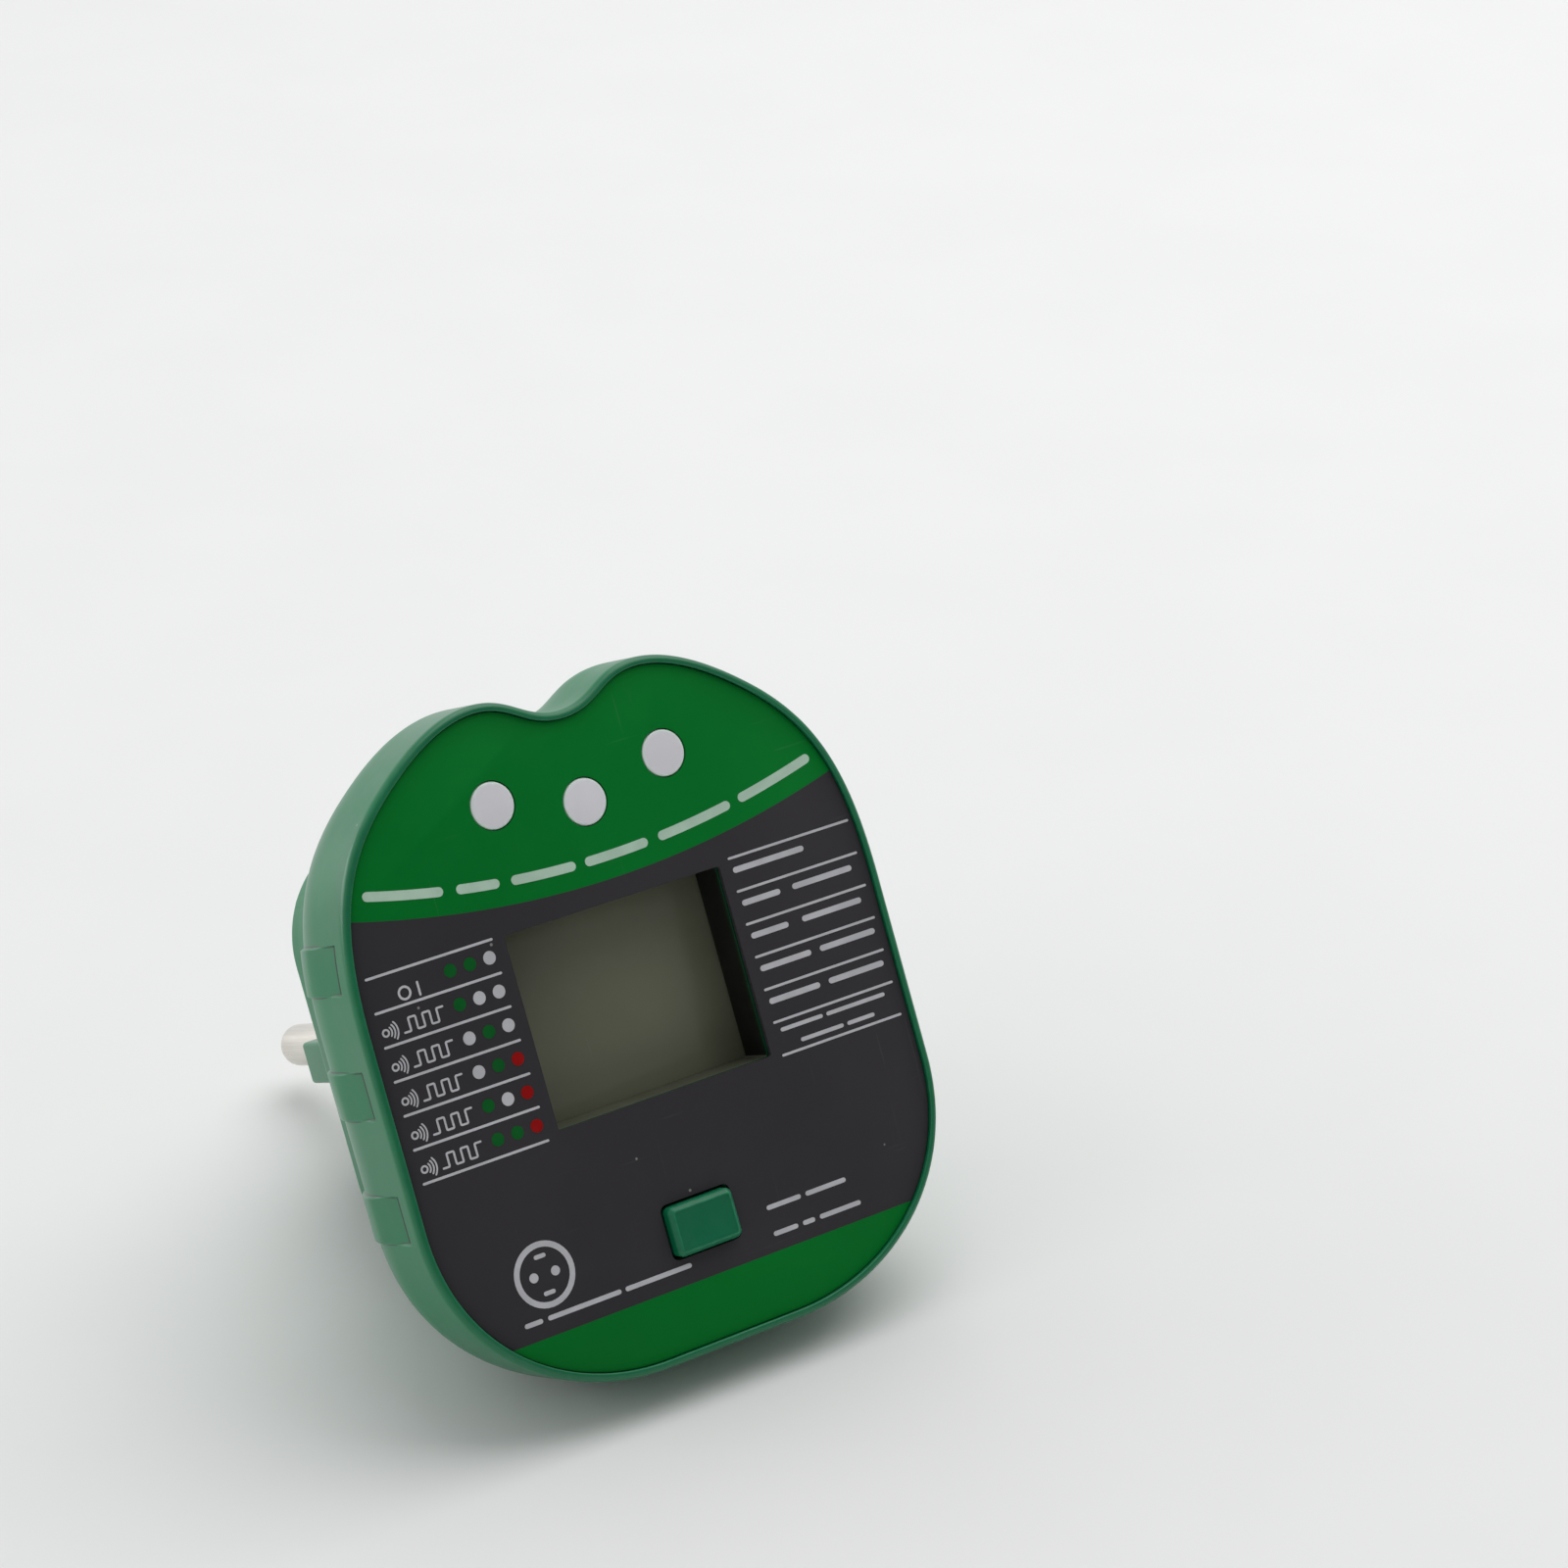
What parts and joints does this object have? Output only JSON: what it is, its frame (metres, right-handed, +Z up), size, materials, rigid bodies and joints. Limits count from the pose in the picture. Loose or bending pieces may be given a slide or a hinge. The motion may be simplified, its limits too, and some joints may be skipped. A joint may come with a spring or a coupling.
{
  "type": "outlet tester plug",
  "caption": "Plug-in mains outlet tester with a notched flat face, recessed display, round lamp windows, a push test button and a round-pin earthed plug behind.",
  "frame": {"origin": "centre of the plug's seating face, between the two pins", "axes": "+Y along the pins, towards the wall; the printed face looks along -Y; +Z up with the notch at the top; +X to the right seen from the front"},
  "size_m": [0.062, 0.0723, 0.0705],
  "materials": {
    "case_plastic": "satin moulded green",
    "printed_label": "printed film, green and grey",
    "lamp_diffuser": "milky white",
    "led_epoxy": "clear to milky",
    "display_film": "olive grey, glossy",
    "reflector_foil": "brushed foil",
    "contact_rubber": "matte",
    "inner_plastic": "natural white",
    "board_laminate": "green solder mask",
    "black_plastic": "black",
    "plated_steel": "tinned",
    "capacitor_yellow": "yellow",
    "capacitor_sleeve": "dark blue sleeve",
    "resistor_coat": "tan coating",
    "fuse_glass": "pale grey",
    "pin_nickel": "satin nickel plate",
    "live_cover": "brown",
    "neutral_cover": "blue",
    "earth_cover": "green",
    "screw_steel": "zinc plated"
  },
  "bodies": {
    "tester": {"board_screw_1": "screw_steel", "board_screw_2": "screw_steel", "board_screw_3": "screw_steel", "board_screw_4": "screw_steel", "bridge_rectifier": "black_plastic", "buzzer": "black_plastic", "case_screw_1": "screw_steel", "case_screw_2": "screw_steel", "case_screw_3": "screw_steel", "case_screw_4": "screw_steel", "contact_strip": "contact_rubber", "controller_chip": "black_plastic", "earth_bracket": "pin_nickel", "earth_wire": "earth_cover", "electrolytic_capacitor": "capacitor_sleeve", "face_label": "printed_label", "film_capacitor": "capacitor_yellow", "front_case": "case_plastic", "fuse": "fuse_glass", "lamp_window_centre": "lamp_diffuser", "lamp_window_left": "lamp_diffuser", "lamp_window_right": "lamp_diffuser", "lcd_glass": "display_film", "lcd_holder": "inner_plastic", "lcd_reflector": "reflector_foil", "led_centre": "led_epoxy", "led_left": "led_epoxy", "led_right": "led_epoxy", "live_pin": "pin_nickel", "live_wire": "live_cover", "main_board": "board_laminate", "neutral_pin": "pin_nickel", "neutral_wire": "neutral_cover", "plug_body": "case_plastic", "plug_retainer": "inner_plastic", "plug_screw_1": "screw_steel", "plug_screw_2": "screw_steel", "rear_case": "case_plastic", "switch_body": "black_plastic", "switch_cover": "plated_steel", "test_resistor_1": "resistor_coat", "test_resistor_2": "resistor_coat"},
    "button": {"test_button": "case_plastic", "switch_plunger": "black_plastic"}
  },
  "joints": [
    {"name": "button_press", "type": "slide", "parent": "tester", "child": "button", "axis": [0, 1, 0], "range_m": [0, 0.0008], "stiffness_N_per_m": 2500}
  ]
}
